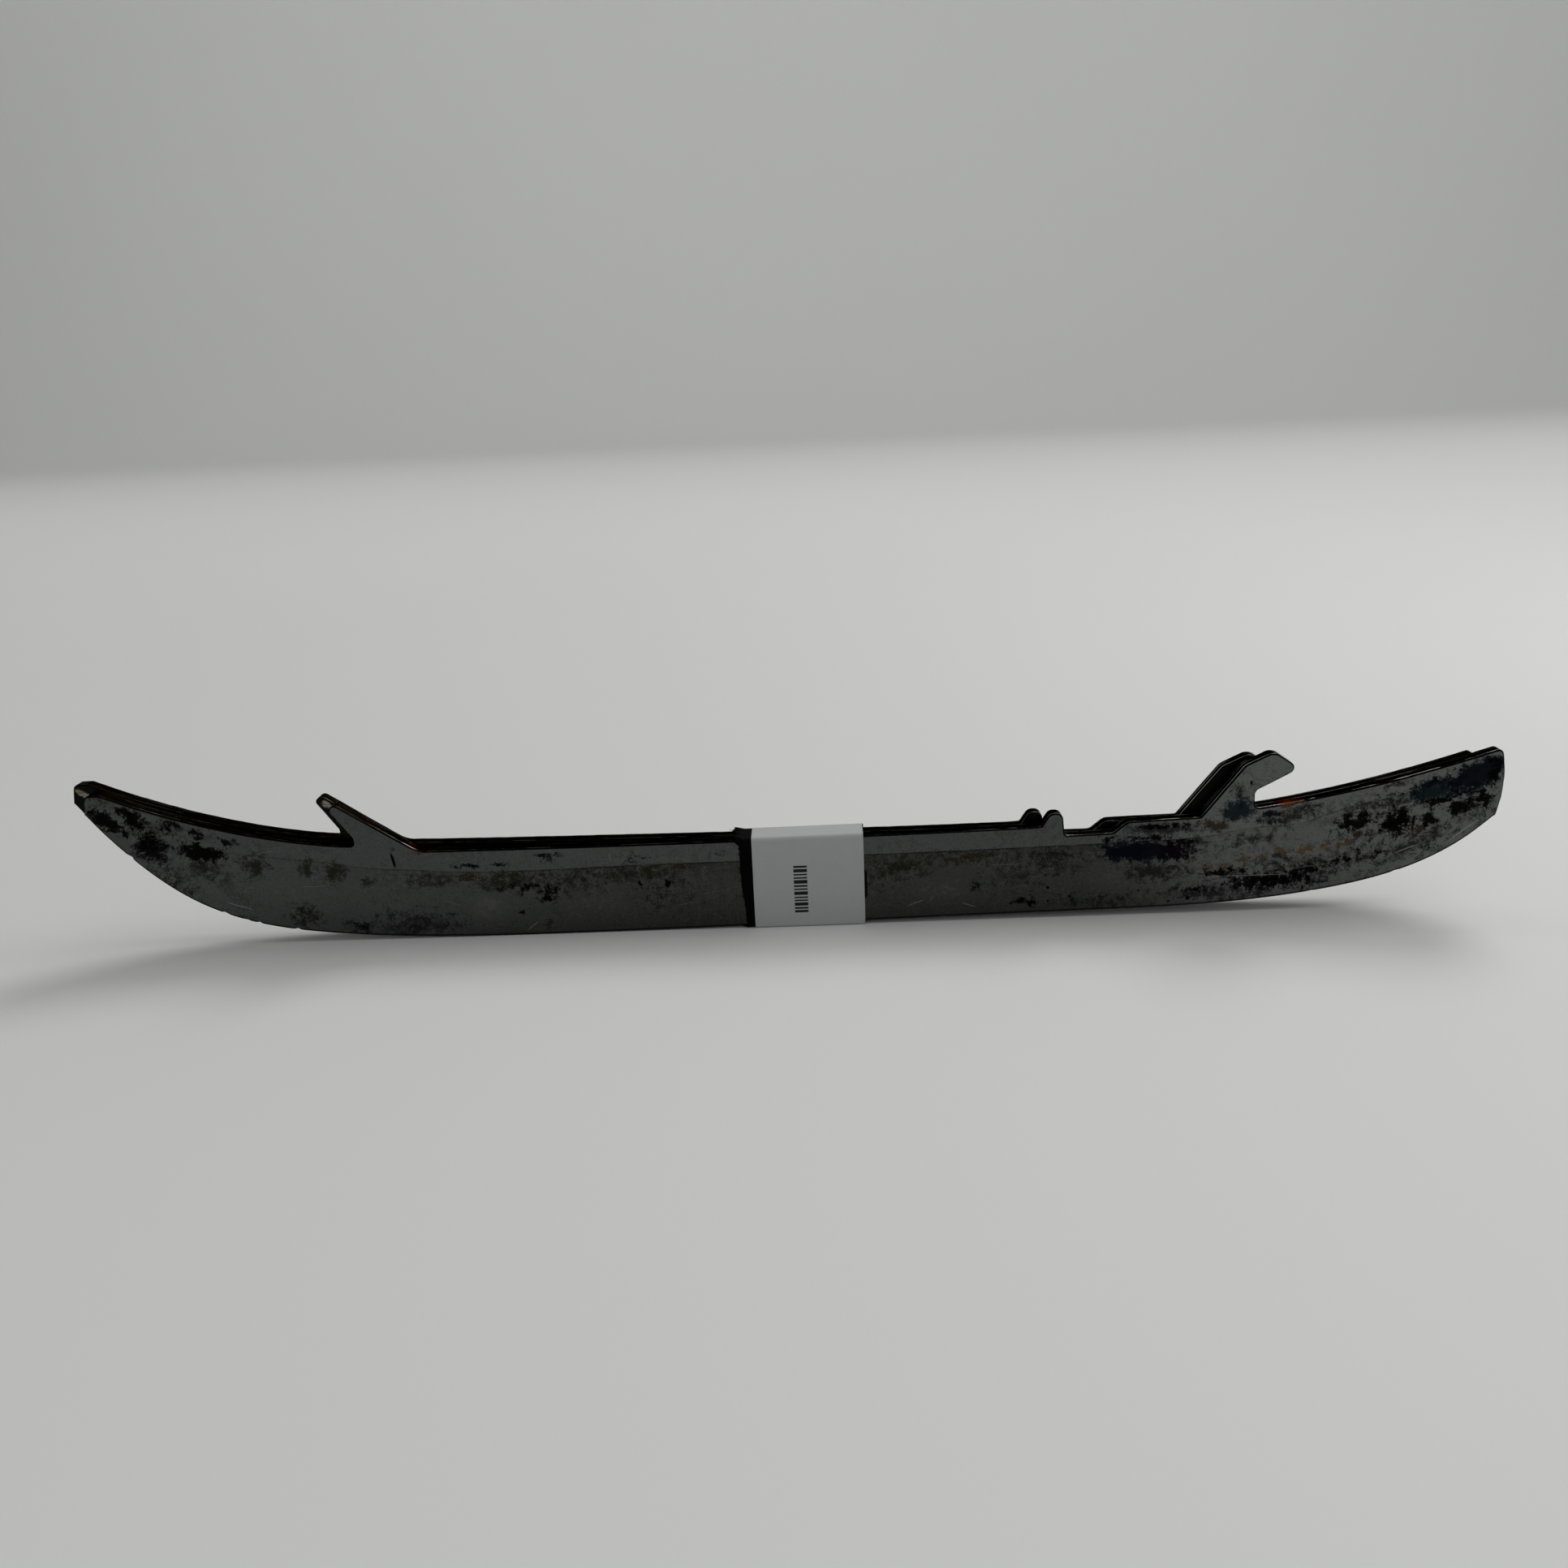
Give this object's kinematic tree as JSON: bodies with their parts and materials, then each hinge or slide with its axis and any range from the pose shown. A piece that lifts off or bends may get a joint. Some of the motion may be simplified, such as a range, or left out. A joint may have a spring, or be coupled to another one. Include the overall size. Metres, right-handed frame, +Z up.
{
  "type": "ice skate runner pair",
  "caption": "Steel quick-release ice skate runners with heel hook, trigger lug and toe hook, bound side by side by a cloth tape wrap with a paper label.",
  "frame": {"origin": "middle of the underside of the object's bounding box, on the surface the pair stands on", "axes": "+X from heel to toe along the blades, +Y from the near runner to the far runner through their thickness, +Z up from the running edges to the hooks"},
  "size_m": [0.2844, 0.0072, 0.0344],
  "materials": {
    "near_steel": "worn satin, ground lengthwise, stained below the holder line",
    "far_steel": "worn satin, ground lengthwise, stained",
    "tape_cloth": "matte black woven cloth tape, frayed at one edge",
    "label_paper": null
  },
  "bodies": {
    "near_runner_body": {"near_runner": "near_steel"},
    "wrap_body": {"tape_wrap": "tape_cloth", "paper_label": "label_paper"},
    "far_runner_body": {"far_runner": "far_steel"}
  },
  "joints": [
    {"name": "wrap_slide", "type": "slide", "parent": "near_runner_body", "child": "wrap_body", "axis": [0.9999, 0, 0.0115], "range_m": [-0.01, 0.012]},
    {"name": "far_runner_slide", "type": "slide", "parent": "near_runner_body", "child": "far_runner_body", "axis": [0.9999, 0, 0.0115], "range_m": [-0.006, 0.008]}
  ]
}
